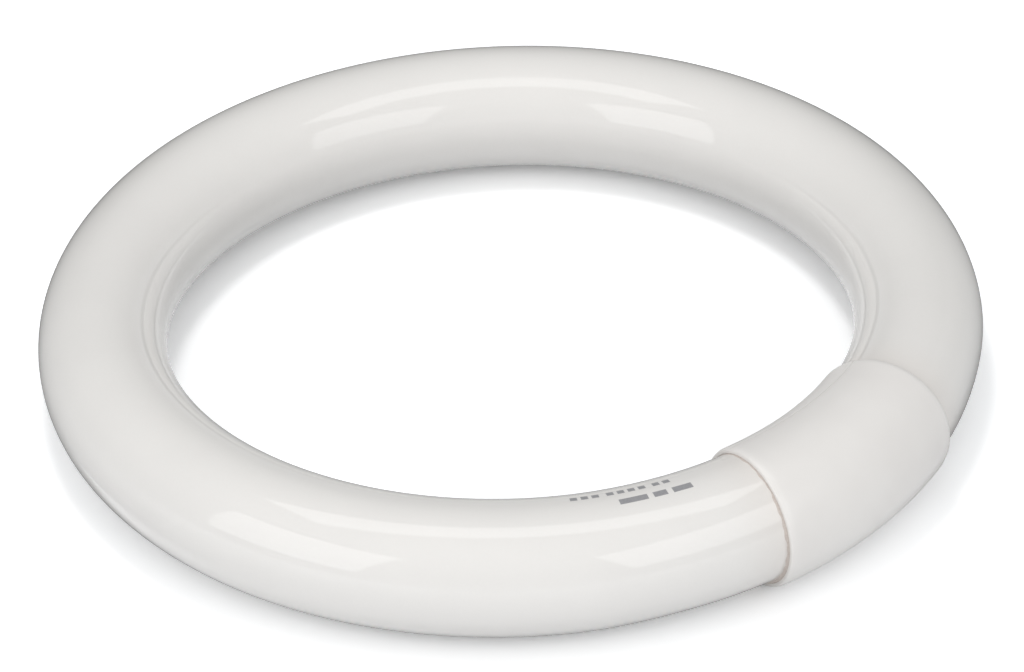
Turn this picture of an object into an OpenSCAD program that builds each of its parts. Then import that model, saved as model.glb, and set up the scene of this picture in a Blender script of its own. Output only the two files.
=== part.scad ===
// Circular fluorescent lamp: a sealed opal tube bent into a ring, its two ends joined by a
// moulded four-pin base. The ring lies flat, its axis is +Z and the base is centred on +X.
// All sizes are in millimetres.

/* [Ring] */
// Radius of the tube's centre line
ring_r = 92; // [86:0.5:110]
// Outside diameter of the glass tube
tube_d = 29; // [27:0.5:31]

/* [Sealed ends] */
// Distance between the flat faces of the two sealed ends, along the centre line
end_gap = 18; // [17:0.5:20]
// Radius of the shoulder between the tube's wall and its flat end
shoulder_r = 6; // [5:0.5:7]
// How far the glass is drawn in at the shoulder, measured on the radius
neck_in = 0.25; // [0.15:0.05:0.4]
// Diameter of the exhaust tube left on one end
exhaust_d = 4.4; // [3:0.1:5]
// Length of the exhaust tube after it was sealed off
exhaust_l = 4.5; // [3:0.1:5]

/* [Base shell] */
// Length of the base along the centre line
base_l = 47; // [45:0.5:54]
// Thickness of the base's wall
base_wall = 1.1; // [0.9:0.05:1.4]
// Gap between the tube and the base, filled with cement at each mouth
cement_gap = 0.25; // [0.15:0.05:0.4]
// Length of the cement in each mouth
cement_l = 4; // [2:0.5:6]
// Depth of the cement's outer face inside the mouth
cement_in = 0.4; // [0:0.1:1]
// Radius on the outer edge of each mouth
rim_round = 0.6; // [0.3:0.05:0.8]
// Angle of the pins below the plane of the ring
pin_tilt = 27; // [0:1:28]

/* [Joint between the halves] */
// Height of the cover's lip inside the pin half
lap_h = 1.2; // [0.8:0.1:2]
// Thickness of that lip
lap_t = 0.5; // [0.3:0.05:0.6]
// Clearance round the lip
lap_gap = 0.05; // [0.02:0.01:0.1]
// Thickness of the ribs that stop the tube's shoulders
rib_t = 1; // [0.6:0.1:1.4]
// Clearance between a rib and the shoulder
rib_gap = 0.3; // [0.2:0.05:0.5]

/* [Pin seat] */
// Length of the flat seat along the tube
seat_l = 18; // [16:0.5:20]
// Width of the flat seat
seat_w = 13; // [12:0.5:14]
// Height of the seat above the round of the base
seat_rise = 0.75; // [0.4:0.05:1]
// Radius of the seat's corners
seat_round = 2.5; // [1:0.5:4]
// Thickness of the pin block under the seat
block_t = 5; // [4:0.5:5]
// Material left round the pin holes
pin_land = 1; // [0.8:0.1:1.2]

/* [Contact pins] */
// Diameter of a pin outside the seat
pin_d = 2.35; // [2.3:0.05:2.4]
// Length of a pin outside the seat
pin_l = 6.9; // [6.4:0.1:7.4]
// Distance between pins along the tube
pin_pitch = 7.9; // [7.7:0.1:8.1]
// Distance between the two rows of pins
pin_row = 6.35; // [6.25:0.05:6.45]
// Diameter of the shank, which fills the hole up to the seat
shank_d = 2.7; // [2.5:0.05:2.9]
// Clearance of the shank in its hole
shank_fit = 0.04; // [0.02:0.01:0.08]
// Radius on the pin's tip
tip_round = 0.7; // [0.4:0.1:1]
// Diameter of the collar on the shank's inner end
collar_d = 3.8; // [3.4:0.1:4]
// Thickness of the collar
collar_t = 0.6; // [0.4:0.1:0.8]
// Diameter of the hollow that takes the lead wire
hollow_d = 1; // [0.9:0.05:1.2]
// Depth of that hollow
hollow_l = 3; // [2:0.5:5]

/* [Lead wires] */
// Diameter of a lead wire
lead_d = 0.7; // [0.5:0.05:0.8]
// Distance from the centre line at which the wires leave the sealed end, towards the pins
lead_out = 2; // [1:0.5:3]
// Straight length of wire before it enters the pin
lead_straight = 0.6; // [0.3:0.1:1]

/* [Hidden] */
$fn = 96;

// Overrun of a cut past the face that it opens, and of a piece into the one that it joins
over = base_wall / 2;
// How far along the shoulder the ribs stand, as a share of the shoulder's radius
rib_share = 0.5;
// How far the rounding's arc passes the faces that it joins, as a share of its radius
rim_cross_share = 0.08;
tube_r = tube_d / 2;
neck_r = tube_r - neck_in;
bore_r = tube_r + cement_gap;
base_r = bore_r + base_wall;
// Reach of a cut that takes everything on one side of a section
far = 2 * base_r;
mid_wall_r = bore_r + base_wall / 2;
// The base's underside lies on z = 0
axis_z = base_r;
seat_face = base_r + seat_rise;
block_face = seat_face - block_t;
collar_face = block_face - collar_t;
pin_reach = collar_t + block_t + pin_l;
// The seat's long edges start inside the wall
seat_root = sqrt(pow(mid_wall_r, 2) - pow(seat_w / 2, 2));
block_l = pin_pitch + shank_d + 2 * pin_land;
block_w = pin_row + shank_d + 2 * pin_land;

// Angle at the ring's axis of a length along the centre line
function turn(len) = len / ring_r * 180 / PI;
end_a = turn(end_gap / 2 + shoulder_r);
base_a = turn(base_l / 2);
cement_a = base_a - turn(cement_in);
cement_turn = turn(cement_l);
rib_a = turn(rib_t);
// The ribs stand against the shoulders, near the flat ends
rib_at = turn(end_gap / 2 + shoulder_r * rib_share - rib_t);
rib_r = neck_r - shoulder_r + shoulder_r * sqrt(1 - pow(1 - rib_share, 2)) + rib_gap;

// Pin n stands at end pin_side(n) of the base, in row pin_row_side(n)
function pin_side(n) = n <= 2 ? -1 : 1;
function pin_row_side(n) = n % 2 == 1 ? -1 : 1;

// A place in the tube's section: p towards the pins, q across them, y along the tube
function in_section(p, q, y) =
    [-p * cos(pin_tilt) - q * sin(pin_tilt), y, -p * sin(pin_tilt) + q * cos(pin_tilt)];

// The same place carried round the ring by angle a
function on_ring(a, v) =
    [(ring_r + v[0]) * cos(a) - v[1] * sin(a), (ring_r + v[0]) * sin(a) + v[1] * cos(a),
        axis_z + v[2]];

// A point of the cubic curve with ends a and d and handles b and c
function curve(a, b, c, d, t) =
    pow(1 - t, 3) * a + 3 * pow(1 - t, 2) * t * b + 3 * (1 - t) * t * t * c + pow(t, 3) * d;

function unit(v) = v / norm(v);

// Local frame on the centre line: x away from the axis, y along the tube, z up
module at_angle(a) {
    rotate([0, 0, a]) translate([ring_r, 0, axis_z]) children();
}

// Local frame of the pins: z out along them, x across the rows, y along the tube
module at_pins() {
    at_angle(0) rotate([0, -90 - pin_tilt, 0]) children();
}

// Sweeps a section, drawn with x towards the pins, along the centre line from angle a0 to a1
module sweep(a0, a1) {
    translate([0, 0, axis_z]) rotate([0, 0, a0])
        rotate_extrude(angle = a1 - a0, $fn = 180)
            translate([ring_r, 0]) rotate(180 + pin_tilt) children();
}

module annulus(r_out, r_in) {
    difference() {
        circle(r_out);
        circle(r_in);
    }
}

// The part of a section on the pins' side, from x = x0 to x1
module band(x0, x1) {
    translate([x0, -far]) square([x1 - x0, 2 * far]);
}

// Section of the lip by which the cover laps inside the pin half
module lap_section(clear) {
    intersection() {
        annulus(bore_r + lap_t + clear, bore_r - clear);
        band(-clear, lap_h + clear);
    }
}

// Quarter of a disc, for a section's rounded corner at radius x
module corner(x, r) {
    intersection() {
        translate([x, 0]) circle(r, $fn = 48);
        translate([x, 0]) square(r);
    }
}

// What is taken off the outer edge of both mouths to round them
module mouth_cuts() {
    for (side = [-1, 1])
        at_angle(side * base_a) rotate([side * 90, 0, 0]) rotate_extrude() difference() {
            translate([base_r - rim_round, -over]) square([rim_round + over, rim_round + over]);
            translate([base_r - rim_round, rim_round]) circle(rim_round * (1 + rim_cross_share), $fn = 48);
        }
}

// Closed end of the tube: a neck that starts inside the ring, a round shoulder, a flat face
module sealed_end(side) {
    at_angle(side * end_a) rotate([side * 90, 0, 0]) rotate_extrude() {
        translate([0, -over]) square([neck_r, over]);
        square([neck_r - shoulder_r, shoulder_r]);
        corner(neck_r - shoulder_r, shoulder_r);
    }
}

// Stub of exhaust tube with its melted round tip
module exhaust_stub() {
    at_angle(end_a) rotate([90, 0, 0]) translate([0, 0, shoulder_r]) rotate_extrude() {
        square([exhaust_d / 2, exhaust_l - exhaust_d / 2]);
        translate([0, exhaust_l - exhaust_d / 2]) corner(0, exhaust_d / 2);
    }
}

module glass_tube() {
    color("whitesmoke") {
        translate([0, 0, axis_z]) rotate([0, 0, end_a])
            rotate_extrude(angle = 360 - 2 * end_a, $fn = 180)
                translate([ring_r, 0]) circle(tube_r);
        sealed_end(1);
        sealed_end(-1);
        exhaust_stub();
    }
}

// Ribs inside a half, from x = x0 to x1 of the section, that stop the tube's shoulders
module ribs(x0, x1) {
    for (side = [-1, 1])
        sweep(side * rib_at - rib_a / 2, side * rib_at + rib_a / 2)
            intersection() {
                annulus(mid_wall_r, rib_r);
                band(x0, x1);
            }
}

// Plain half with the lips that lap inside the other half
module base_cover() {
    color("gainsboro") difference() {
        union() {
            sweep(-base_a, base_a) {
                intersection() {
                    annulus(base_r, bore_r);
                    band(-far, 0);
                }
                lap_section(0);
            }
            ribs(-far, -rib_gap);
        }
        mouth_cuts();
    }
}

// Half that faces the middle of the ring, with the seat and the block that hold the pins
module base_pin_half() {
    color("lightgray") difference() {
        union() {
            sweep(-base_a, base_a) difference() {
                intersection() {
                    annulus(base_r, bore_r);
                    band(0, far);
                }
                lap_section(lap_gap);
            }
            ribs(lap_h + rib_gap, far);
            seat();
            block();
        }
        pin_holes();
        mouth_cuts();
    }
}

// Flat outer seat with rounded corners, rooted half-way into the wall
module seat() {
    difference() {
        at_pins() translate([0, 0, seat_root]) linear_extrude(seat_face - seat_root) {
            square([seat_w - 2 * seat_round, seat_l], center = true);
            square([seat_w, seat_l - 2 * seat_round], center = true);
            for (sx = [-1, 1], sy = [-1, 1])
                translate([sx * (seat_w / 2 - seat_round), sy * (seat_l / 2 - seat_round)])
                    circle(seat_round, $fn = 32);
        }
        sweep(-base_a, base_a) circle(mid_wall_r);
    }
}

// Inner block that the pins pass through
module block() {
    at_pins() translate([-block_w / 2, -block_l / 2, block_face])
        cube([block_w, block_l, mid_wall_r - block_face]);
}

module pin_holes() {
    for (n = [1:4])
        at_pin(n) translate([0, 0, block_face - over])
            cylinder(r = shank_d / 2 + shank_fit, h = block_t + 2 * over);
}

module at_pin(n) {
    at_pins() translate([pin_row_side(n) * pin_row / 2, pin_side(n) * pin_pitch / 2, 0])
        children();
}

// Turned pin: collar against the block, shank through it, rounded tip, hollow inner end
module contact_pin(n) {
    color("silver") at_pin(n) translate([0, 0, collar_face]) difference() {
        rotate_extrude() {
            square([collar_d / 2, collar_t]);
            square([shank_d / 2, collar_t + block_t]);
            square([pin_d / 2, pin_reach - tip_round]);
            square([pin_d / 2 - tip_round, pin_reach]);
            translate([0, pin_reach - tip_round]) corner(pin_d / 2 - tip_round, tip_round);
        }
        translate([0, 0, -over]) cylinder(d = hollow_d, h = hollow_l + over);
    }
}

// Wire from a sealed end to the bottom of its pin's hollow
lead_sides = 8;
lead_steps = 10;
// How far the curve's handles reach towards the bend, as shares of the way to it
lead_handle_shares = [0.7, 0.6];

function lead_line(n) =
    let (
        s = pin_side(n),
        q = pin_row_side(n) * pin_row / 2,
        out = s * pin_pitch / 2,
        start = on_ring(s * end_a, in_section(lead_out, q, -s * shoulder_r)),
        away = unit(on_ring(s * end_a, [0, -s, 0]) - on_ring(s * end_a, [0, 0, 0])),
        entry = on_ring(0, in_section(collar_face - lead_straight, q, out)),
        foot = on_ring(0, in_section(collar_face + hollow_l, q, out)),
        along = unit(foot - entry),
        reach_out = abs(start[1] - entry[1]) * lead_handle_shares[0],
        reach_in = (collar_face - lead_straight - lead_out) * lead_handle_shares[1]
    )
    concat(
        [for (i = [0:lead_steps])
            curve(start, start + away * reach_out, entry - along * reach_in, entry,
                i / lead_steps)],
        [foot]);

function lead_way(line, away, i) =
    i == 0 ? away
    : i >= len(line) - 2 ? unit(line[len(line) - 1] - line[len(line) - 2])
    : unit(line[i + 1] - line[i - 1]);

module lead_wire(n) {
    s = pin_side(n);
    line = lead_line(n);
    away = unit(on_ring(s * end_a, [0, -s, 0]) - on_ring(s * end_a, [0, 0, 0]));
    across = in_section(0, 1, 0);
    rings = len(line);
    points = [for (i = [0:rings - 1])
        let (way = lead_way(line, away, i), u = unit(cross(way, across)), v = cross(way, u))
            for (k = [0:lead_sides - 1])
                line[i] + lead_d / 2 * (cos(k * 360 / lead_sides) * u
                    + sin(k * 360 / lead_sides) * v)];
    sides = [for (i = [0:rings - 2], k = [0:lead_sides - 1])
        let (m = (k + 1) % lead_sides)
            [i * lead_sides + k, i * lead_sides + m,
                (i + 1) * lead_sides + m, (i + 1) * lead_sides + k]];
    first = [for (k = [lead_sides - 1:-1:0]) k];
    last = [for (k = [0:lead_sides - 1]) (rings - 1) * lead_sides + k];
    color("goldenrod") polyhedron(points, concat([first], sides, [last]));
}

// Cement between the tube and the base, just inside one mouth
module cement_ring(side) {
    color("sienna") sweep(side * cement_a, side * (cement_a - cement_turn))
        annulus(bore_r, tube_r);
}

glass_tube();
base_cover();
base_pin_half();
cement_ring(-1);  // cement_ring_a
cement_ring(1);  // cement_ring_b
contact_pin(1);  // contact_pin_1
contact_pin(2);  // contact_pin_2
contact_pin(3);  // contact_pin_3
contact_pin(4);  // contact_pin_4
lead_wire(1);  // lead_wire_1
lead_wire(2);  // lead_wire_2
lead_wire(3);  // lead_wire_3
lead_wire(4);  // lead_wire_4
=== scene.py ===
import math
import bmesh
import bpy
from mathutils import Matrix, Vector


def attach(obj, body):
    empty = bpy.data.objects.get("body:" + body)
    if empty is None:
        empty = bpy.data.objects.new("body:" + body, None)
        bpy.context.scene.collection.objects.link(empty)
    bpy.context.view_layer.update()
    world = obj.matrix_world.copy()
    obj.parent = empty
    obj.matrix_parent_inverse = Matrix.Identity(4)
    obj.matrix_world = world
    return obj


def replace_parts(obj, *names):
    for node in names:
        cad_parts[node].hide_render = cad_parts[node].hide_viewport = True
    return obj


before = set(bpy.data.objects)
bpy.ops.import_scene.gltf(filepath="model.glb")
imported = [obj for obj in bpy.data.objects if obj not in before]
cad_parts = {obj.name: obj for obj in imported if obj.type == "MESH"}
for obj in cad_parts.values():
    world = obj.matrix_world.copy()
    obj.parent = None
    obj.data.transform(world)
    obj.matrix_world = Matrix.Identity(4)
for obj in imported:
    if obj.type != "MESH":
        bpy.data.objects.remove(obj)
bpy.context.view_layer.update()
mm = 0.001
letIn = 0.01              # millimetres by which one form is let into the next
mergeWithin = 0.000002    # metres between doubles
sharpAngle = 32           # degrees
scene = bpy.context.scene
scene.view_settings.view_transform = "Standard"

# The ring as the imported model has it, in millimetres and degrees like all that follows, unless a
# note says otherwise
ring = {
    "radius": 92,       # from the ring's axis to the middle of the tube
    "height": 15.85,    # middle of the tube above the floor
    "pinTilt": 27,      # how far the pins point below the ring's plane
    "brownFrom": 23,    # the glass is browned up to here from the middle of the base,
    "brownTo": 36,      # fading out by here
}
print("frame loaded")


# Angle round the ring, in radians, of a length along the middle of the tube
def turn(length):
    return length / ring["radius"]


def linear(code):
    parts = [int(code[i:i + 2], 16) / 255 for i in (1, 3, 5)]
    return [c / 12.92 if c <= 0.04045 else ((c + 0.055) / 1.055) ** 2.4 for c in parts] + [1]


# Adds one node; links holds its inputs, by name or number, as values or as outputs of other nodes
def add(tree, kind, links=None, **settings):
    node = tree.nodes.new(kind)
    for name, value in settings.items():
        setattr(node, name, value)
    for socket, value in (links or {}).items():
        if isinstance(value, bpy.types.NodeSocket):
            tree.links.new(value, node.inputs[socket])
        else:
            node.inputs[socket].default_value = value
    return node


def newMaterial(name):
    material = bpy.data.materials.new(name)
    material.use_nodes = True
    material.node_tree.nodes.clear()
    return material, material.node_tree


# Soda-lime glass tube, drawn, bent hot and coated inside with white phosphor powder: the eye sees
# sharp reflections on the clear skin over an even, faintly warm white. The skin is the coat layer,
# whose slight tint deepens where it is looked through aslant, towards the rim of the tube
def opalGlass():
    material, tree = newMaterial("drawn_glass_over_phosphor")
    place = add(tree, "ShaderNodeTexCoord").outputs["Object"]
    clouds = add(tree, "ShaderNodeTexNoise", {"Vector": place, "Scale": 55, "Detail": 3})   # 18 mm
    powder = add(tree, "ShaderNodeTexNoise", {"Vector": place, "Scale": 1400, "Detail": 2})  # 0.7 mm
    both = add(tree, "ShaderNodeMix", {0: 0.3, 2: clouds.outputs["Fac"], 3: powder.outputs["Fac"]})
    tone = add(tree, "ShaderNodeMapRange", {"Value": both.outputs[0], "From Min": 0.3, "From Max": 0.7})
    colour = add(tree, "ShaderNodeMix", {0: tone.outputs[0], 6: linear("#F1EEEB"),
                                         7: linear("#F4F1EE")}, data_type="RGBA")
    # Near the electrodes, beside the base, the powder is a little browned
    split = add(tree, "ShaderNodeSeparateXYZ", {0: place})
    turned = add(tree, "ShaderNodeMath", {0: split.outputs["Y"], 1: split.outputs["X"]},
                 operation="ARCTAN2")
    apart = add(tree, "ShaderNodeMath", {0: turned.outputs[0]}, operation="ABSOLUTE")
    browned = add(tree, "ShaderNodeMapRange", {"Value": apart.outputs[0],
                                               "From Min": turn(ring["brownFrom"]),
                                               "From Max": turn(ring["brownTo"]),
                                               "To Min": 0.3, "To Max": 0.0},
                  interpolation_type="SMOOTHSTEP")
    colour = add(tree, "ShaderNodeMix", {0: browned.outputs[0], 6: colour.outputs[2],
                                         7: linear("#E7DED7")}, data_type="RGBA")
    wave = add(tree, "ShaderNodeTexNoise", {"Vector": place, "Scale": 40, "Detail": 1})      # 25 mm
    bump = add(tree, "ShaderNodeBump", {"Height": wave.outputs["Fac"], "Strength": 0.15,
                                        "Distance": 0.0004})
    skin = add(tree, "ShaderNodeBsdfPrincipled", {"Base Color": colour.outputs[2],
                                                  "Roughness": 0.5, "Specular IOR Level": 0.0,
                                                  "Coat Weight": 1.0, "Coat Roughness": 0.045,
                                                  "Coat IOR": 1.52,
                                                  "Coat Tint": linear("#F3F3F2"),
                                                  "Normal": bump.outputs["Normal"],
                                                  "Coat Normal": bump.outputs["Normal"]})
    add(tree, "ShaderNodeOutputMaterial", {"Surface": skin.outputs[0]})
    return material


# Injection-moulded PBT from a finely spark-eroded tool: a satin skin with a very fine grain,
# soft wide highlights and hardly any colour change
def mouldedPbt():
    material, tree = newMaterial("moulded_white_pbt")
    place = add(tree, "ShaderNodeTexCoord").outputs["Object"]
    grain = add(tree, "ShaderNodeTexNoise", {"Vector": place, "Scale": 4000, "Detail": 2})   # 0.25 mm
    flow = add(tree, "ShaderNodeTexNoise", {"Vector": place, "Scale": 90, "Detail": 2})      # 11 mm
    colour = add(tree, "ShaderNodeMix", {0: flow.outputs["Fac"], 6: linear("#E2DEDA"),
                                         7: linear("#E9E6E2")}, data_type="RGBA")
    gloss = add(tree, "ShaderNodeMapRange", {"Value": grain.outputs["Fac"], "To Min": 0.3,
                                             "To Max": 0.4})
    bump = add(tree, "ShaderNodeBump", {"Height": grain.outputs["Fac"], "Strength": 0.25,
                                        "Distance": 0.00002})
    skin = add(tree, "ShaderNodeBsdfPrincipled", {"Base Color": colour.outputs[2],
                                                  "Roughness": gloss.outputs[0], "IOR": 1.5,
                                                  "Normal": bump.outputs["Normal"]})
    add(tree, "ShaderNodeOutputMaterial", {"Surface": skin.outputs[0]})
    return material


# Brass, turned and nickel plated: bright satin, a little yellow, with faint uneven polish
def platedBrass():
    material, tree = newMaterial("nickel_plated_brass")
    place = add(tree, "ShaderNodeTexCoord").outputs["Object"]
    polish = add(tree, "ShaderNodeTexNoise", {"Vector": place, "Scale": 2500, "Detail": 2})  # 0.4 mm
    rough = add(tree, "ShaderNodeMapRange", {"Value": polish.outputs["Fac"], "To Min": 0.22,
                                             "To Max": 0.27})
    colour = add(tree, "ShaderNodeMix", {0: polish.outputs["Fac"], 6: linear("#D3CFC5"),
                                         7: linear("#DCD9D0")}, data_type="RGBA")
    skin = add(tree, "ShaderNodeBsdfPrincipled", {"Base Color": colour.outputs[2],
                                                  "Metallic": 1, "Roughness": rough.outputs[0]})
    add(tree, "ShaderNodeOutputMaterial", {"Surface": skin.outputs[0]})
    return material


# Nickel-iron wire with a copper skin, drawn and borated in the flame: dull copper red, mottled
def sealWire():
    material, tree = newMaterial("copper_clad_seal_wire")
    place = add(tree, "ShaderNodeTexCoord").outputs["Object"]
    oxide = add(tree, "ShaderNodeTexNoise", {"Vector": place, "Scale": 900, "Detail": 3})    # 1.1 mm
    colour = add(tree, "ShaderNodeMix", {0: oxide.outputs["Fac"], 6: linear("#8C4A36"),
                                         7: linear("#C98A6A")}, data_type="RGBA")
    skin = add(tree, "ShaderNodeBsdfPrincipled", {"Base Color": colour.outputs[2],
                                                  "Metallic": 1, "Roughness": 0.38})
    add(tree, "ShaderNodeOutputMaterial", {"Surface": skin.outputs[0]})
    return material


# Basing cement of marble flour and resin, baked on: pale brown, chalky, grainy, a little uneven
def bakedCement():
    material, tree = newMaterial("baked_basing_cement")
    place = add(tree, "ShaderNodeTexCoord").outputs["Object"]
    grit = add(tree, "ShaderNodeTexNoise", {"Vector": place, "Scale": 3000, "Detail": 4})    # 0.3 mm
    colour = add(tree, "ShaderNodeMix", {0: grit.outputs["Fac"], 6: linear("#B9ACA4"),
                                         7: linear("#DBD3CC")}, data_type="RGBA")
    bump = add(tree, "ShaderNodeBump", {"Height": grit.outputs["Fac"], "Strength": 0.8,
                                        "Distance": 0.0001})
    skin = add(tree, "ShaderNodeBsdfPrincipled", {"Base Color": colour.outputs[2],
                                                  "Roughness": 0.85, "IOR": 1.5,
                                                  "Normal": bump.outputs["Normal"]})
    add(tree, "ShaderNodeOutputMaterial", {"Surface": skin.outputs[0]})
    return material


# Enamel printed on the glass from a rubber pad: flat, thin, mid grey, a little patchy
def stampedEnamel():
    material, tree = newMaterial("pad_printed_enamel")
    place = add(tree, "ShaderNodeTexCoord").outputs["Object"]
    patches = add(tree, "ShaderNodeTexNoise", {"Vector": place, "Scale": 2200, "Detail": 3})  # 0.5 mm
    colour = add(tree, "ShaderNodeMix", {0: patches.outputs["Fac"], 6: linear("#88888B"),
                                         7: linear("#A6A5A6")}, data_type="RGBA")
    skin = add(tree, "ShaderNodeBsdfPrincipled", {"Base Color": colour.outputs[2],
                                                  "Roughness": 0.42, "IOR": 1.5})
    add(tree, "ShaderNodeOutputMaterial", {"Surface": skin.outputs[0]})
    return material


glassFinish = opalGlass()
plasticFinish = mouldedPbt()
pinFinish = platedBrass()
wireFinish = sealWire()
cementFinish = bakedCement()
printFinish = stampedEnamel()
print("materials made")


# A place out and up from the middle of the tube, carried round the ring by angle a
def tubePlace(out, up, a, along=0):
    x = ring["radius"] + out
    return Vector((x * math.cos(a) - along * math.sin(a), x * math.sin(a) + along * math.cos(a),
                   ring["height"] + up)) * mm


# The same by p towards the pins and q across them
def ringPlace(p, q, a, along=0):
    tilt = math.radians(ring["pinTilt"])
    return tubePlace(-p * math.cos(tilt) - q * math.sin(tilt),
                     -p * math.sin(tilt) + q * math.cos(tilt), a, along)


# Turns a bmesh into a finished piece: doubles merged, faces outwards, sharp only where it bends
def finishPiece(name, bm, material):
    bmesh.ops.remove_doubles(bm, verts=bm.verts, dist=mergeWithin)
    bmesh.ops.recalc_face_normals(bm, faces=bm.faces)
    mesh = bpy.data.meshes.new(name)
    bm.to_mesh(mesh)
    bm.free()
    mesh.shade_smooth()
    mesh.set_sharp_from_angle(angle=math.radians(sharpAngle))
    mesh.materials.append(material)
    piece = bpy.data.objects.new(name, mesh)
    scene.collection.objects.link(piece)
    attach(piece, "root")
    return piece


# Joins rows of points into a closed form; each row closes on itself, and the ends are capped
def joinRows(bm, rows, capped=True):
    rings = [[bm.verts.new(point) for point in row] for row in rows]
    count = len(rings[0])
    for near, far in zip(rings, rings[1:]):
        for i in range(count):
            j = (i + 1) % count
            bm.faces.new((near[i], near[j], far[j], far[i]))
    if capped:
        bm.faces.new(rings[0][::-1])
        bm.faces.new(rings[-1])


# A quarter circle as shares of its radius: 1 less the cosine, and the sine
def quarterArc(steps):
    angles = [math.radians(90 * i / steps) for i in range(steps + 1)]
    return [(1 - math.cos(a), math.sin(a)) for a in angles]


# The glass: one sweep round the ring whose radius follows a rule, from the sealed stub at one end
# through the shoulders and the slightly drawn-in necks to the other sealed end
tube = {
    "radius": 14.5,
    "neckRadius": 14.3,       # the glass is drawn in a little where it was heated for sealing
    "neckIn": 0.17,           # each neck sits off the middle of the bore, towards the ring's axis
    "neckUp": 0.25,           # and up
    "neckFrom": 29.5,         # from a sealed end: the neck is full this far
    "neckTo": 59.5,           # and has grown to the tube by here
    "endAlong": 9,            # flat end of the glass, from the middle of the base
    "shoulder": 6,
    "stubRadius": 2.2,
    "stubLength": 4.5,
    "stations": 700,
    "around": 128,
    "crowding": 2.2,          # power by which the stations crowd towards the ends
    "tipShare": 0.0004,       # share of the length at each end that closes to a point
}


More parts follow.
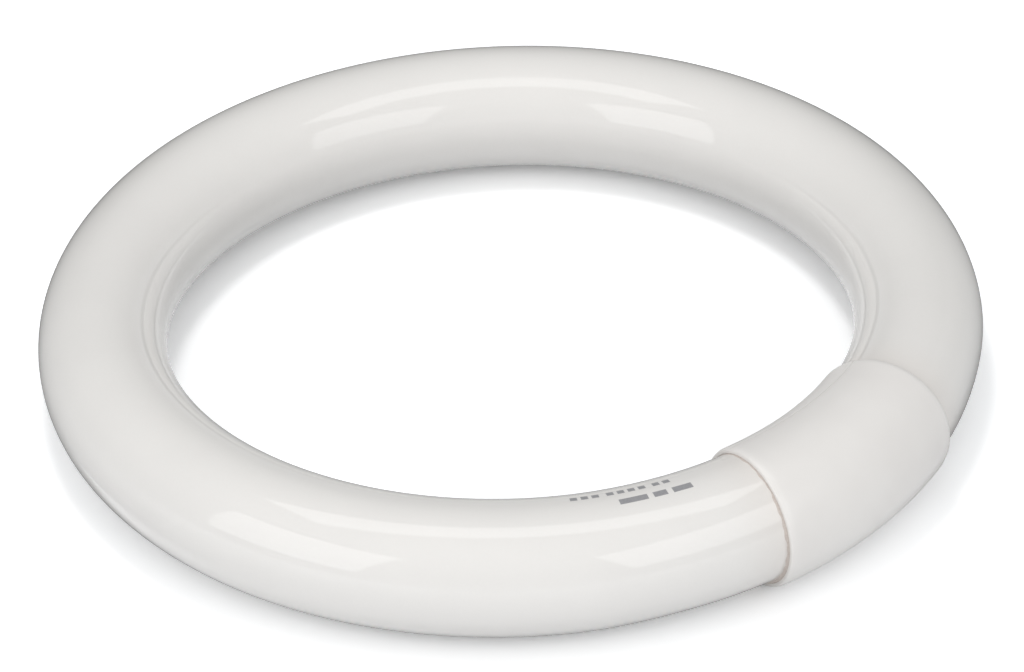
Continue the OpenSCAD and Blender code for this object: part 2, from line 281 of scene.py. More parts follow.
def buildGlassTree():
    tree = bpy.data.node_groups.new("ringTube", "GeometryNodeTree")
    tree.interface.new_socket("Geometry", in_out="OUTPUT", socket_type="NodeSocketGeometry")
    ids = {}
    for name, kind in (("Ring Radius", "Float"), ("Tube Radius", "Float"), ("Neck Radius", "Float"),
                       ("Neck From", "Float"), ("Neck To", "Float"), ("Stub Angle", "Float"),
                       ("Half Length", "Float"), ("Shoulder", "Float"), ("Stub Radius", "Float"),
                       ("Stub Length", "Float"), ("Height", "Float"), ("Neck In", "Float"),
                       ("Neck Up", "Float"), ("Stations", "Int"), ("Around", "Int"),
                       ("Material", "Material")):
        ids[name] = tree.interface.new_socket(name, in_out="INPUT",
                                              socket_type="NodeSocket" + kind).identifier
    given = add(tree, "NodeGroupInput").outputs

    def calc(operation, a, b=0.0, c=0.0):
        return add(tree, "ShaderNodeMath", {0: a, 1: b, 2: c}, operation=operation).outputs[0]

    # A grid whose x runs along the ring and y round the tube, then bent into place by the rule
    grid = add(tree, "GeometryNodeMeshGrid", {"Size X": 2.0, "Size Y": 1.0,
                                              "Vertices X": given["Stations"],
                                              "Vertices Y": given["Around"]})
    where = add(tree, "ShaderNodeSeparateXYZ", {0: add(tree, "GeometryNodeInputPosition").outputs[0]})
    side = calc("SIGN", where.outputs["X"])
    share = calc("SUBTRACT", 1.0, calc("ABSOLUTE", where.outputs["X"]))     # 0 at an end, 1 opposite
    # Stations crowd towards the ends, where the shoulder and the stub need them
    run = calc("POWER", share, tube["crowding"])
    stubHere = calc("MULTIPLY", given["Stub Length"], calc("GREATER_THAN", side, 0.0))
    whole = calc("ADD", given["Half Length"], stubHere)
    along = calc("SUBTRACT", calc("MULTIPLY", run, whole), stubHere)         # 0 at the flat end
    drawn = add(tree, "ShaderNodeMapRange", {"Value": along, "From Min": given["Neck From"],
                                             "From Max": given["Neck To"], "To Min": 1.0,
                                             "To Max": 0.0},
                interpolation_type="SMOOTHERSTEP").outputs["Result"]     # 1 on a neck, 0 past it
    drawnBy = calc("SUBTRACT", given["Tube Radius"], given["Neck Radius"])
    neck = calc("SUBTRACT", given["Tube Radius"], calc("MULTIPLY", drawnBy, drawn))
    left = calc("SUBTRACT", given["Shoulder"], calc("MINIMUM", along, given["Shoulder"]))
    arc = calc("SQRT", calc("MAXIMUM", 0.0, calc("SUBTRACT", calc("POWER", given["Shoulder"], 2.0),
                                                 calc("POWER", left, 2.0))))
    body = calc("ADD", calc("SUBTRACT", neck, given["Shoulder"]), arc)
    fromTip = calc("MINIMUM", calc("ADD", along, given["Stub Length"]), given["Stub Radius"])
    cut = calc("SUBTRACT", given["Stub Radius"], fromTip)
    tip = calc("SQRT", calc("MAXIMUM", 0.0, calc("SUBTRACT", calc("POWER", given["Stub Radius"], 2.0),
                                                 calc("POWER", cut, 2.0))))
    onStub = calc("LESS_THAN", along, 0.0)
    reach = calc("ADD", calc("MULTIPLY", tip, onStub),
                 calc("MULTIPLY", body, calc("SUBTRACT", 1.0, onStub)))
    # The very first and last rows close to a point
    isOpen = calc("GREATER_THAN", share, tube["tipShare"])
    reach = calc("MULTIPLY", reach, isOpen)
    around = calc("MULTIPLY", calc("ADD", where.outputs["Y"], 0.5), 2 * math.pi)
    angle = calc("MULTIPLY", side, calc("ADD", given["Stub Angle"],
                                        calc("DIVIDE", along, given["Ring Radius"])))
    middle = calc("SUBTRACT", given["Ring Radius"], calc("MULTIPLY", given["Neck In"], drawn))
    out = calc("ADD", middle, calc("MULTIPLY", reach, calc("COSINE", around)))
    level = calc("ADD", given["Height"], calc("MULTIPLY", given["Neck Up"], drawn))
    place = add(tree, "ShaderNodeCombineXYZ", {
        "X": calc("MULTIPLY", out, calc("COSINE", angle)),
        "Y": calc("MULTIPLY", out, calc("SINE", angle)),
        "Z": calc("ADD", level, calc("MULTIPLY", reach, calc("SINE", around)))})
    bent = add(tree, "GeometryNodeSetPosition", {"Geometry": grid.outputs["Mesh"],
                                                 "Position": place.outputs[0]})
    closed = add(tree, "GeometryNodeMergeByDistance", {"Geometry": bent.outputs[0],
                                                       "Distance": 2 * mergeWithin})
    soft = add(tree, "GeometryNodeSetShadeSmooth", {"Geometry": closed.outputs[0]})
    real = add(tree, "GeometryNodeRealizeInstances", {"Geometry": soft.outputs[0]})
    dressed = add(tree, "GeometryNodeSetMaterial", {"Geometry": real.outputs[0],
                                                    "Material": given["Material"]})
    add(tree, "NodeGroupOutput", {0: dressed.outputs[0]})
    return tree, ids


# Runs a tree on an empty mesh and keeps the result as a plain mesh
def growPiece(name, tree, ids, values):
    host = bpy.data.objects.new(name + "Host", bpy.data.meshes.new(name + "Host"))
    scene.collection.objects.link(host)
    modifier = host.modifiers.new("shape", "NODES")
    modifier.node_group = tree
    for socket, value in values.items():
        modifier[ids[socket]] = value
    graph = bpy.context.evaluated_depsgraph_get()
    mesh = bpy.data.meshes.new_from_object(host.evaluated_get(graph))
    bpy.data.objects.remove(host)
    bm = bmesh.new()
    bm.from_mesh(mesh)
    bpy.data.meshes.remove(mesh)
    return finishPiece(name, bm, values["Material"])


glassTree, glassIds = buildGlassTree()
glassTube = growPiece("ringGlass", glassTree, glassIds, {
    "Ring Radius": ring["radius"] * mm, "Tube Radius": tube["radius"] * mm,
    "Neck Radius": tube["neckRadius"] * mm, "Neck From": tube["neckFrom"] * mm,
    "Neck To": tube["neckTo"] * mm, "Stub Angle": turn(tube["endAlong"]),
    "Half Length": (math.pi - turn(tube["endAlong"])) * ring["radius"] * mm,
    "Shoulder": tube["shoulder"] * mm, "Stub Radius": tube["stubRadius"] * mm,
    "Stub Length": tube["stubLength"] * mm, "Height": ring["height"] * mm,
    "Neck In": tube["neckIn"] * mm, "Neck Up": tube["neckUp"] * mm,
    "Stations": tube["stations"], "Around": tube["around"] + 1,
    "Material": glassFinish})
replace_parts(glassTube, "glass_tube")
print("glass made", len(glassTube.data.polygons))

# The base: a plain cover outside and a half that carries the pins, both swept along the ring
base = {
    "halfLength": 23.5,
    "outer": 15.85,
    "bore": 14.75,
    "mouthLong": 1.7,         # the outer edge of each mouth is rounded off over this length
    "mouthDeep": 0.62,        # and by this much of the radius
    "mouthSteps": 10,
    "edgeRound": 0.2,         # moulded edges along the parting line are a little soft
    "bevelShare": 0.29,       # where the middle of such an edge lies, as a share of edgeRound
    "lipHeight": 1.2,
    "lipThick": 0.5,
    "lipGap": 0.05,
    "lipWall": 0.04,          # least wall outside the lip, where the mouth is rounded off
    "seatWidth": 13,
    "seatLength": 18,
    "seatRise": 0.75,
    "seatRound": 2.5,
    "seatSoft": 0.3,
    "seatRoot": 2.2,          # how far the seat's form goes into the wall
    "softSteps": 6,
    "blockDepth": 5,
    "blockMargin": 4.7,       # what the block has over the pitches
    "blockRound": 0.3,
    "pinHole": 2.78,
    "holeFlare": 0.21,        # the lead-in's width beyond the hole, and its depth
    "flareDeep": 0.2,
    "cutPast": 1,
    "holeSteps": 48,
    "pinPitch": 7.9,
    "rowPitch": 6.35,
    "ribAlong": 11,
    "ribThick": 1,
    "ribInner": 13.75,
    "ribGap": 0.3,
    "ribSteps": 48,
    "stations": 72,
    "arcSteps": 72,
}
wallMiddle = (base["outer"] + base["bore"]) / 2
seatFace = base["outer"] + base["seatRise"]
blockFace = seatFace - base["blockDepth"]


# Stations along the base with what the mouth's rounding takes off the outer radius at each
def mouthStations(half, count):
    inner = half - base["mouthLong"]
    quarter = [(inner + base["mouthLong"] * sine, base["mouthDeep"] * fall)
               for fall, sine in quarterArc(base["mouthSteps"])]
    rows = [(-along, cut) for along, cut in quarter[::-1]]
    rows += [(-inner + 2 * inner * i / count, 0) for i in range(1, count)]
    return rows + quarter


# Section of a half as (p, q); side is -1 for the cover and 1 for the pin half, and cut is what the
# mouth's rounding takes off
def halfSection(side, cut):
    bore, soft, steps = base["bore"], base["edgeRound"], base["arcSteps"]
    outer = base["outer"] - cut
    bevel = soft * base["bevelShare"]
    start = math.asin(soft / base["outer"])
    points = []
    for i in range(steps + 1):
        a = start + (math.pi - 2 * start) * i / steps
        points.append((side * outer * math.sin(a), outer * math.cos(a)))
    edge = [(side * bevel, bevel - outer), (0, soft - outer)]
    if side < 0:
        lip = min(bore + base["lipThick"], outer - soft - base["lipWall"])
        edge += [(0, -lip), (base["lipHeight"], -lip), (base["lipHeight"], -bore)]
        inStart = -math.asin(base["lipHeight"] / bore)
    else:
        lip = min(bore + base["lipThick"] + base["lipGap"], outer - soft - base["lipWall"] / 2)
        depth = base["lipHeight"] + base["lipGap"]
        edge += [(0, -lip), (depth, -lip)]
        inStart = math.asin(depth / bore)
    inner = []
    for i in range(steps + 1):
        a = inStart + (math.pi - 2 * inStart) * i / steps
        inner.append((side * bore * math.sin(a), -bore * math.cos(a)))
    if side < 0:
        inner = inner[1:-1]
    mirrored = [(p, -q) for p, q in edge[::-1]]
    return points + edge + inner + mirrored


def sweptHalf(side):
    bm = bmesh.new()
    joinRows(bm, [[ringPlace(p, q, turn(along)) for p, q in halfSection(side, cut)]
                  for along, cut in mouthStations(base["halfLength"], base["stations"])])
    return bm


# Thin ribs inside a half that stop the glass shoulders
def addRibs(bm, side):
    fromP = base["ribGap"] + (base["lipHeight"] if side > 0 else 0)
    section = []
    for reach, way in ((wallMiddle, 1), (base["ribInner"], -1)):
        start = math.asin(fromP / reach)
        for i in range(base["ribSteps"] + 1):
            b = start + (math.pi - 2 * start) * i / base["ribSteps"]
            section.append((side * reach * math.sin(b), way * reach * math.cos(b)))
    for end in (-1, 1):
        joinRows(bm, [[ringPlace(p, q, turn(end * base["ribAlong"] + half * base["ribThick"] / 2))
                       for p, q in section] for half in (-1, 1)])


cover = sweptHalf(-1)
addRibs(cover, -1)
baseCover = finishPiece("baseCover", cover, plasticFinish)
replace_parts(baseCover, "base_cover")


# Outline of a rectangle with rounded corners, as (across, along)
def roundedOutline(width, length, corner, steps):
    points = []
    for sx, sy, first in ((1, 1, 0), (-1, 1, 90), (-1, -1, 180), (1, -1, 270)):
        for i in range(steps + 1):
            a = math.radians(first + 90 * i / steps)
            points.append((sx * (width / 2 - corner) + corner * math.cos(a),
                           sy * (length / 2 - corner) + corner * math.sin(a)))
    return points


# A place in the pins' own straight frame
def pinPlace(p, q, along):
    return ringPlace(p, q, 0, along)


def helperObject(bm, name):
    bmesh.ops.recalc_face_normals(bm, faces=bm.faces)
    mesh = bpy.data.meshes.new(name)
    bm.to_mesh(mesh)
    bm.free()
    helper = bpy.data.objects.new(name, mesh)
    scene.collection.objects.link(helper)
    return helper


# Joins or cuts target with a helper and removes the helper
def combine(target, helper, operation):
    modifier = target.modifiers.new("combine", "BOOLEAN")
    modifier.operation = operation
    modifier.object = helper
    modifier.solver = "EXACT"
    graph = bpy.context.evaluated_depsgraph_get()
    mesh = bpy.data.meshes.new_from_object(target.evaluated_get(graph))
    target.modifiers.clear()
    old = target.data
    target.data = mesh
    bpy.data.meshes.remove(old)
    bpy.data.objects.remove(helper)


# The seat: a rounded rectangle whose top edge is softened
def seatForm():
    bm = bmesh.new()
    soft = base["seatSoft"]
    levels = [(wallMiddle - base["seatRoot"], 0)]
    levels += [(seatFace - soft + soft * sine, soft * fall)
               for fall, sine in quarterArc(base["softSteps"])]
    joinRows(bm, [[pinPlace(p, q, along) for q, along in
                   roundedOutline(base["seatWidth"] - 2 * inset, base["seatLength"] - 2 * inset,
                                  base["seatRound"] - inset, 8)] for p, inset in levels])
    return helperObject(bm, "seatForm")


# The block inside that the pins pass through
def blockForm():
    bm = bmesh.new()
    outline = roundedOutline(base["rowPitch"] + base["blockMargin"],
                             base["pinPitch"] + base["blockMargin"], base["blockRound"], 3)
    joinRows(bm, [[pinPlace(p, q, along) for q, along in outline] for p in (blockFace, wallMiddle)])
    return helperObject(bm, "blockForm")


# Four holes with a small lead-in at the seat
def holeForms():
    bm = bmesh.new()
    narrow = base["pinHole"] / 2
    wide = narrow + base["holeFlare"]
    levels = ((blockFace - base["cutPast"], narrow), (seatFace - base["flareDeep"], narrow),
              (seatFace + letIn, wide), (seatFace + base["cutPast"], wide))
    angles = [2 * math.pi * k / base["holeSteps"] for k in range(base["holeSteps"])]
    for n in (-1, 1):
        for m in (-1, 1):
            joinRows(bm, [[pinPlace(p, m * base["rowPitch"] / 2 + reach * math.cos(a),
                                    n * base["pinPitch"] / 2 + reach * math.sin(a))
                           for a in angles] for p, reach in levels])
    return helperObject(bm, "holeForms")


def buildPinHalf():
    half = helperObject(sweptHalf(1), "pinHalfShell")
    combine(half, seatForm(), "UNION")
    combine(half, blockForm(), "UNION")
    combine(half, holeForms(), "DIFFERENCE")
    bm = bmesh.new()
    bm.from_mesh(half.data)
    bpy.data.objects.remove(half)
    addRibs(bm, 1)
    return finishPiece("basePinHalf", bm, plasticFinish)


basePinHalf = buildPinHalf()
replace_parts(basePinHalf, "base_pin_half")
print("base made", len(baseCover.data.polygons), len(basePinHalf.data.polygons))

# The cement between each neck and the bore: filled nearly to the mouth, smeared a little way along
# the glass and uneven at its edge, with a thick drop at the bottom of one mouth
cement = {
    "back": 19.0,             # places along the base, from its middle
    "front": 23.47,
    "uneven": 0.05,
    "smear": 0.42,
    "smearUneven": 0.6,
    # three waves round the edge: how many, and their phase at each end and in all
    "waves": ((5, 1, 0), (13, 2.1, 0), (31, 0, 0.4)),
    "outer": 14.73,
    "dropAt": -62,            # where the drop hangs, from straight out towards up, in degrees
    "dropWide": 11,
    "dropLong": 1.1,
    "dropBulge": 0.25,
    # the edge from bore to glass: share of the gap and what the drop adds to it, place past the
    # front and what the drop adds to it, share of the smear
    "edge": ((1, 0, -0.12, 0, 0), (0.8, 0, -0.03, 0, 0), (0.5, 0, 0, 0.25, 0),
             (0.22, 0.3, 0, 0, 0.4), (0.05, 0, 0, 0, 0.85), (0, 0, 0, 0, 1)),
    "around": 180,
}


def buildCement(end, drop):
    bm = bmesh.new()
    inner = tube["neckRadius"] - letIn
    rows = []
    for i in range(cement["around"]):
        b = 2 * math.pi * i / cement["around"]
        wave = sum(math.sin(n * b + byEnd * end + phase) for n, byEnd, phase in cement["waves"]) / 3
        spread = (math.degrees(b) - cement["dropAt"] + 180) % 360 - 180
        hang = drop * math.exp(-(spread / cement["dropWide"]) ** 2)
        front = cement["front"] + cement["uneven"] * wave + cement["dropBulge"] * hang
        smear = (cement["smear"] * (1 + cement["smearUneven"] * wave)
                 + cement["dropLong"] * hang)
        near = Vector((inner * math.cos(b) - tube["neckIn"], inner * math.sin(b) + tube["neckUp"]))
        far = Vector((math.cos(b), math.sin(b))) * cement["outer"]
        places = [(0, cement["back"]), (1, cement["back"])]
        places += [(share + byDrop * hang, front + past + pastByDrop * hang + smearShare * smear)
                   for share, byDrop, past, pastByDrop, smearShare in cement["edge"]]
        rows.append([tubePlace(*near.lerp(far, share), turn(end * along)) for share, along in places])
    joinRows(bm, rows + rows[:1], capped=False)
    return bm


for name, end, drop in (("cement_ring_a", -1, 1), ("cement_ring_b", 1, 0)):
    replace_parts(finishPiece("basing" + name[-1].upper(), buildCement(end, drop), cementFinish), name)
print("cement filled")

# A contact pin: turned collar and shank, a drawn tube outside with a rolled-in tip that holds a bead
# of solder, and two dents from the tool that crimps the lead wire
pin = {
    "radius": 1.175,
    "length": 6.9,            # outside the seat
    "shank": 1.35,
    "collar": 1.9,
    "collarThick": 0.6,
    "tipRound": 0.7,
    "hollow": 0.5,
    "hollowDeep": 3,
    "collarBevel": 0.08,
    "shankBevel": 0.05,
    "beadRadius": 0.42,
    "beadGap": 0.03,          # between the bead and the rolled edge
    "beadDeep": 0.06,
    "beadRise": 0.055,
    "beadSteps": 5,
    "dentFrom": 2.6,          # middle of the dents, from the tip
    "dentLong": 0.75,
    "dentDeep": 0.2,
    "dentShare": 0.9,         # dents are only in what is wider than this share of the radius
    "pointRadius": 0.0001,
    "around": 64,
    "stations": 26,
}


# Outline of a pin from its hollow foot to its tip, as (radius, p)
def pinProfile():
    tip = seatFace + pin["length"]
    foot = blockFace - pin["collarThick"]
    r, bead, soft = pin["radius"], pin["beadRadius"], pin["tipRound"]
    top = foot + pin["hollowDeep"]
    points = [(0, top), (pin["hollow"], top), (pin["hollow"], foot),
              (pin["collar"] - pin["collarBevel"], foot), (pin["collar"], foot + pin["collarBevel"]),
              (pin["collar"], blockFace), (pin["shank"], blockFace),
              (pin["shank"], seatFace - pin["shankBevel"]),
              (pin["shank"] - pin["shankBevel"], seatFace), (r, seatFace)]
    points += [(r, seatFace + (pin["length"] - soft) * i / pin["stations"])
               for i in range(1, pin["stations"] + 1)]
    points += [(r - soft * fall, tip - soft * (1 - sine))
               for fall, sine in quarterArc(base["softSteps"])[1:]]
    points.append((bead + pin["beadGap"], tip))
    points += [(bead * (1 - fall), tip - pin["beadDeep"] + pin["beadRise"] * sine)
               for fall, sine in quarterArc(pin["beadSteps"])]
    return points


def buildPin(q, along):
    bm = bmesh.new()
    dentAt = seatFace + pin["length"] - pin["dentFrom"]
    rows = []
    for reach, p in pinProfile():
        onDent = max(0, 1 - ((p - dentAt) / pin["dentLong"]) ** 2)
        deep = pin["dentDeep"] * onDent if reach > pin["radius"] * pin["dentShare"] else 0
        row = []
        for k in range(pin["around"]):
            b = 2 * math.pi * k / pin["around"]
            r = max(reach, pin["pointRadius"]) - deep * max(0, math.cos(2 * b)) ** 2
            row.append(pinPlace(p, q + r * math.cos(b), along + r * math.sin(b)))
        rows.append(row)
    joinRows(bm, rows)
    return bm


for n in range(4):
    q = (-1, 1)[n % 2] * base["rowPitch"] / 2
    along = (-1, 1)[n // 2] * base["pinPitch"] / 2
    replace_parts(finishPiece("pin" + str(n + 1), buildPin(q, along), pinFinish),
                "contact_pin_" + str(n + 1))

# The lead wires keep their solids and get the finish of the real material
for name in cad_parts:
    if name.startswith("lead_wire"):
        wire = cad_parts[name]
        for i in range(len(wire.data.materials)):
            wire.data.materials[i] = wireFinish
print("pins made, wires dressed")

# Print on the glass, where a real tube carries its marking: two rows of plain squares and bars
marks = {
    "thick": 0.02,
    "step": 0.6,
    "across": 5,
    "rows": (
        {"from": -39.6, "up": 104, "tall": 1.5,
         "runs": (1.5, 1.5, 1.5, 0, 1.5, 1.5, 1.5, 1.5, 0, 1.5, 1.5), "gap": 0.85},
        {"from": -33.4, "up": 88.5, "tall": 1.7, "runs": (6.2, 3.0, 4.4), "gap": 1.3},
    ),
}


# How far the glass is drawn towards its neck at an angle round the ring: the same smoother step as
# in the tree
def drawnShare(a):
    along = abs(a) * ring["radius"] - tube["endAlong"]
    t = min(1, max(0, (along - tube["neckFrom"]) / (tube["neckTo"] - tube["neckFrom"])))
    return 1 - t ** 3 * (t * (6 * t - 15) + 10)


def printMark(bm, start, length, up, tall):
    reach = ring["radius"] + tube["radius"] * math.cos(math.radians(up))
    half = math.degrees(tall / 2 / tube["radius"])
    steps = max(2, round(length / marks["step"]))
    across = marks["across"]
    rows = []
    for i in range(steps + 1):
        a = math.radians(start) + length * i / steps / reach
        drawn = drawnShare(a)
        row = []
        for lift, order in ((marks["thick"], range(across + 1)), (-letIn, range(across, -1, -1))):
            for k in order:
                b = math.radians(up - half + 2 * half * k / across)
                r = tube["radius"] - drawn * (tube["radius"] - tube["neckRadius"]) + lift
                row.append(tubePlace(r * math.cos(b) - drawn * tube["neckIn"],
                                     r * math.sin(b) + drawn * tube["neckUp"], a))
        rows.append(row)
    joinRows(bm, rows)
    return start + math.degrees(length / reach)


def buildPrint():
    bm = bmesh.new()
    for row in marks["rows"]:
        at = row["from"]
        for run in row["runs"]:
            if run:
                at = printMark(bm, at, run, row["up"], row["tall"])
            at += math.degrees(turn(row["gap"]))
    return finishPiece("glassPrint", bm, printFinish)


buildPrint()
print("print laid on")

# Floor: a matt white sheet. The camera, gloss and glass see it exposed a little past white, so that
# only the object's shadow shows; what it throws back on the object is that of a pale sheet
floorFacts = {
    "size": 8.0,
    "seen": 1.4,              # how bright the sheet is seen, as a share of a perfect white
    "colour": "#C4C6C9",      # what it throws back
}


def buildFloor():
    mesh = bpy.data.meshes.new("floorSheet")
    half = floorFacts["size"] / 2
    mesh.from_pydata([(-half, -half, 0), (half, -half, 0), (half, half, 0), (-half, half, 0)], [],
                     [(0, 1, 2, 3)])
    material, tree = newMaterial("matt_white_sheet")
    path = add(tree, "ShaderNodeLightPath")
    either = add(tree, "ShaderNodeMath", {0: path.outputs["Is Camera Ray"],
                                          1: path.outputs["Is Glossy Ray"]}, operation="MAXIMUM")
    seen = add(tree, "ShaderNodeMath", {0: either.outputs[0], 1: path.outputs["Is Transmission Ray"]},
               operation="MAXIMUM")
    bright = [floorFacts["seen"]] * 3 + [1]
    colour = add(tree, "ShaderNodeMix", {0: seen.outputs[0], 6: linear(floorFacts["colour"]),
                                         7: bright}, data_type="RGBA")
    sheet = add(tree, "ShaderNodeBsdfDiffuse", {"Color": colour.outputs[2]})
    add(tree, "ShaderNodeOutputMaterial", {"Surface": sheet.outputs[0]})
    mesh.materials.append(material)
    floor = bpy.data.objects.new("floorSheet", mesh)
    scene.collection.objects.link(floor)


buildFloor()

# Grey cards that stand round the back and sides, as for any white object on white, and grey paper
# on the sheet, inside the ring and under its rim. They show only in the gloss, where they draw
# the darker edge of the tube, and fade out towards their own ends
cardFacts = {
    "radius": 116,
    "height": 42,
    # azimuth from the camera's right hand side in degrees, brightness, and how solid the card is
    "stations": ((-45, 0.62, 0), (0, 0.5, 0.9), (22, 0.3, 1), (40, 0.09, 1), (150, 0.09, 1),
                 (170, 0.35, 1), (185, 0.5, 0.9), (232, 0.62, 0)),
    "steps": 12,
}
paperFacts = {
    "lift": 0.3,
    "around": 192,
    "swellPower": 6.8,
    # radius where it starts, where it begins to fade and where it ends; the rim's grows by swell
    # at the camera's left and right, where the tube's edge mirrors the sheet further out
    "inside": {"radii": (0.5, 66, 80), "swell": 0, "brightness": 0.37},
    "rim": {"radii": (90, 96, 103), "swell": 22, "brightness": 0.27},
}


# A matt stage sheet that only gloss sees; its rows hold (place, brightness, solidity)
def buildStageSheet(name, rows, closed):
    bm = bmesh.new()
    tone = bm.verts.layers.float.new("tone")
    solid = bm.verts.layers.float.new("solid")
    made = []
    for row in rows:
        made.append([])
        for place, brightness, solidity in row:
            vertex = bm.verts.new(place)
            vertex[tone], vertex[solid] = brightness, solidity
            made[-1].append(vertex)
    for near, far in zip(made, made[1:]):
        for i in range(len(near) if closed else len(near) - 1):
            j = (i + 1) % len(near)
            bm.faces.new((near[i], far[i], far[j], near[j]))
    mesh = bpy.data.meshes.new(name)
    bm.to_mesh(mesh)
    bm.free()
    material, tree = newMaterial(name + "_grey_paint")
    paint = add(tree, "ShaderNodeBsdfDiffuse",
                {"Color": add(tree, "ShaderNodeAttribute", attribute_name="tone").outputs["Fac"]})
    through = add(tree, "ShaderNodeBsdfTransparent")
    mixed = add(tree, "ShaderNodeMixShader",
                {0: add(tree, "ShaderNodeAttribute", attribute_name="solid").outputs["Fac"],
                 1: through.outputs[0], 2: paint.outputs[0]})
    add(tree, "ShaderNodeOutputMaterial", {"Surface": mixed.outputs[0]})
    mesh.materials.append(material)
    sheet = bpy.data.objects.new(name, mesh)
    scene.collection.objects.link(sheet)
    sheet.visible_camera = sheet.visible_diffuse = sheet.visible_shadow = False


def buildCards():
    columns = []
    stations = cardFacts["stations"]
    for near, far in zip(stations, stations[1:]):
        last = far == stations[-1]
        for i in range(cardFacts["steps"] + last):
            angle, brightness, solidity = (n + (f - n) * i / cardFacts["steps"]
                                           for n, f in zip(near, far))
            a = math.radians(angle)
            foot = photoToPart((cardFacts["radius"] * mm * math.cos(a),
                                cardFacts["radius"] * mm * math.sin(a), 0))
            columns.append([((foot.x, foot.y, z), brightness, solidity)
                            for z in (0, cardFacts["height"] * mm)])
    buildStageSheet("greyCards", columns, False)


def buildPaper(side, facts):
    rows = [[], [], []]
    for i in range(paperFacts["around"]):
        a = 2 * math.pi * i / paperFacts["around"]
        swell = facts["swell"] * abs(math.cos(a)) ** paperFacts["swellPower"]
        for row, r, grows, solidity in zip(rows, facts["radii"], (0, 1, 1), (1, 1, 0)):
            reach = (r + grows * swell) * mm
            foot = photoToPart((reach * math.cos(a), reach * math.sin(a), 0))
            row.append(((foot.x, foot.y, paperFacts["lift"] * mm), facts["brightness"], solidity))
    buildStageSheet(side + "Paper", rows, True)


# Light: an overhead soft box and one in front on each side, which the glass mirrors, two lamps that
# only fill, and an even surrounding. Azimuth counts from the camera's right hand side, in degrees;
# sizes and places are in metres
light = {
    "worldColour": "#F4F6F8",
    "worldForDiffuse": 0.65,
    "worldForGloss": 0.2,
    # what gloss sees just above the sheet, and the rise of a direction (its z) where that ends
    "worldNearSheet": (0.85, 0.3),
}
softBoxes = {
    "overhead": {"centre": (0.009, -0.0225, 0.5), "size": (0.568, 0.175), "radiance": 1.5,
                 "inDiffuse": False},
    "highLeft": {"azimuth": 150, "elevation": 84, "distance": 0.9, "size": (0.2, 0.2),
                 "radiance": 12, "inGloss": False},
    "rightFront": {"azimuth": -45.5, "elevation": 29, "distance": 1.6, "size": (1.10, 0.87),
                   "radiance": 1.42},
    "leftFront": {"azimuth": -142.5, "elevation": 27, "distance": 1.6, "size": (1.05, 0.95),
                  "radiance": 1.52},
    "frontFill": {"azimuth": -95, "elevation": 16, "distance": 2.2, "size": (2.0, 0.9),
                  "radiance": 1.9, "inGloss": False},
}
cameraFacts = {
    "azimuth": -46.8,          # where the camera stands round the ring's axis
    "elevation": 34.396,
    "distance": 1.00414,
    "roll": 2.051,
    "lens": 156.07,
    "sensor": 36,
    "clip": (0.05, 40),
    "shift": (0.00192, -0.0163),
}


# Direction of length 1 from azimuth and elevation, in degrees
def outwards(azimuth, elevation):
    a, e = math.radians(azimuth), math.radians(elevation)
    return Vector((math.cos(e) * math.cos(a), math.cos(e) * math.sin(a), math.sin(e)))


# A place that counts from the camera's right hand side and the middle of the tube, in the part
def photoToPart(place):
    a = math.radians(cameraFacts["azimuth"] + 90)
    x, y, z = place
    return Vector((x * math.cos(a) - y * math.sin(a), x * math.sin(a) + y * math.cos(a),
                   z + ring["height"] * mm))


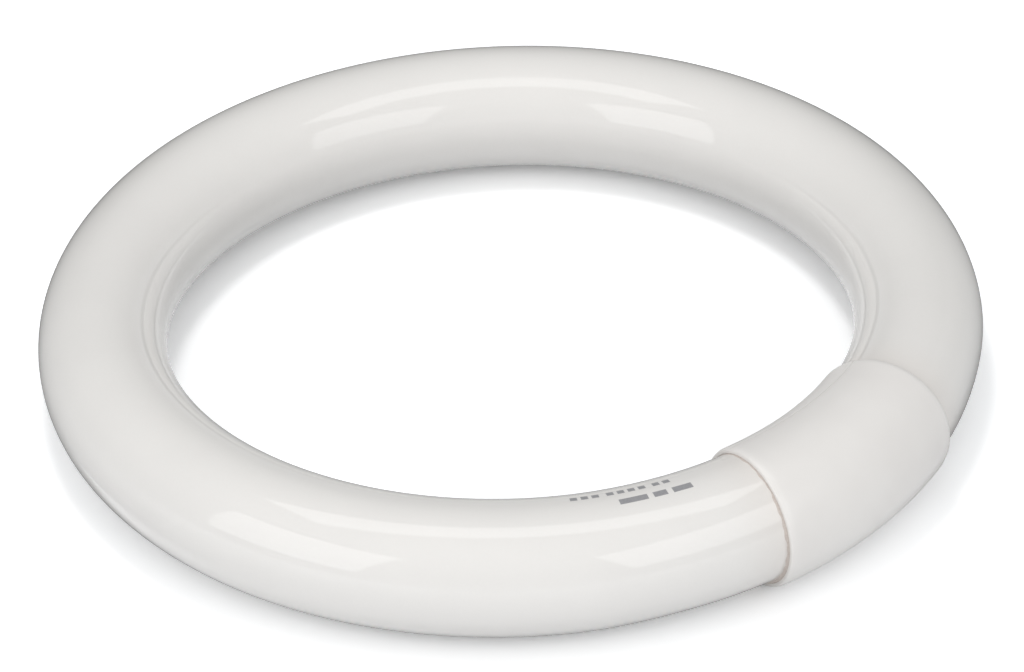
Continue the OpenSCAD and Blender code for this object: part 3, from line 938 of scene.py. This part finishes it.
def buildLights():
    world = bpy.data.worlds.new("surrounding")
    scene.world = world
    world.use_nodes = True
    tree = world.node_tree
    tree.nodes.clear()
    direction = add(tree, "ShaderNodeTexCoord").outputs["Generated"]
    rise = add(tree, "ShaderNodeSeparateXYZ", {0: direction}).outputs["Z"]
    near, end = light["worldNearSheet"]
    forGloss = add(tree, "ShaderNodeMapRange", {"Value": rise, "From Min": 0, "From Max": end,
                                                "To Min": near, "To Max": light["worldForGloss"]})
    path = add(tree, "ShaderNodeLightPath")
    byRay = add(tree, "ShaderNodeMapRange", {"Value": path.outputs["Is Glossy Ray"],
                                             "To Min": light["worldForDiffuse"],
                                             "To Max": forGloss.outputs[0]})
    # The camera sees it as plain white
    strength = add(tree, "ShaderNodeMath", {0: byRay.outputs[0], 1: path.outputs["Is Camera Ray"]},
                   operation="MAXIMUM")
    sky = add(tree, "ShaderNodeBackground", {"Color": linear(light["worldColour"]),
                                             "Strength": strength.outputs[0]})
    add(tree, "ShaderNodeOutputWorld", {"Surface": sky.outputs[0]})
    for name, box in softBoxes.items():
        lamp = bpy.data.lights.new(name, "AREA")
        lamp.shape = "RECTANGLE"
        lamp.size, lamp.size_y = box["size"]
        lamp.energy = box["radiance"] * math.pi * lamp.size * lamp.size_y
        stand = bpy.data.objects.new(name, lamp)
        scene.collection.objects.link(stand)
        if "centre" in box:
            stand.location = photoToPart(box["centre"])
            stand.rotation_euler.z = math.radians(cameraFacts["azimuth"] + 90)
        else:
            away = outwards(box["azimuth"], box["elevation"])
            stand.location = photoToPart(away * box["distance"])
            stand.rotation_mode = "QUATERNION"
            facing = stand.location - photoToPart((0, 0, 0))
            stand.rotation_quaternion = facing.to_track_quat("Z", "Y")
        stand.visible_glossy = box.get("inGloss", True)
        stand.visible_diffuse = box.get("inDiffuse", True)


buildLights()
buildCards()
for side in ("inside", "rim"):
    buildPaper(side, paperFacts[side])


def buildCamera():
    roll = math.radians(cameraFacts["roll"])
    back = outwards(cameraFacts["azimuth"], cameraFacts["elevation"])
    right = outwards(cameraFacts["azimuth"] + 90, 0)
    up = back.cross(right)
    x = right * math.cos(roll) - up * math.sin(roll)
    y = right * math.sin(roll) + up * math.cos(roll)
    data = bpy.data.cameras.new("photoCamera")
    data.lens = cameraFacts["lens"]
    data.sensor_width = cameraFacts["sensor"]
    data.sensor_fit = "HORIZONTAL"
    data.shift_x, data.shift_y = cameraFacts["shift"]
    data.clip_start, data.clip_end = cameraFacts["clip"]
    camera = bpy.data.objects.new("photoCamera", data)
    scene.collection.objects.link(camera)
    place = back * cameraFacts["distance"] + Vector((0, 0, ring["height"] * mm))
    camera.matrix_world = Matrix.Translation(place) @ Matrix((x, y, back)).transposed().to_4x4()
    scene.camera = camera


buildCamera()
print("stage, lights and camera set")
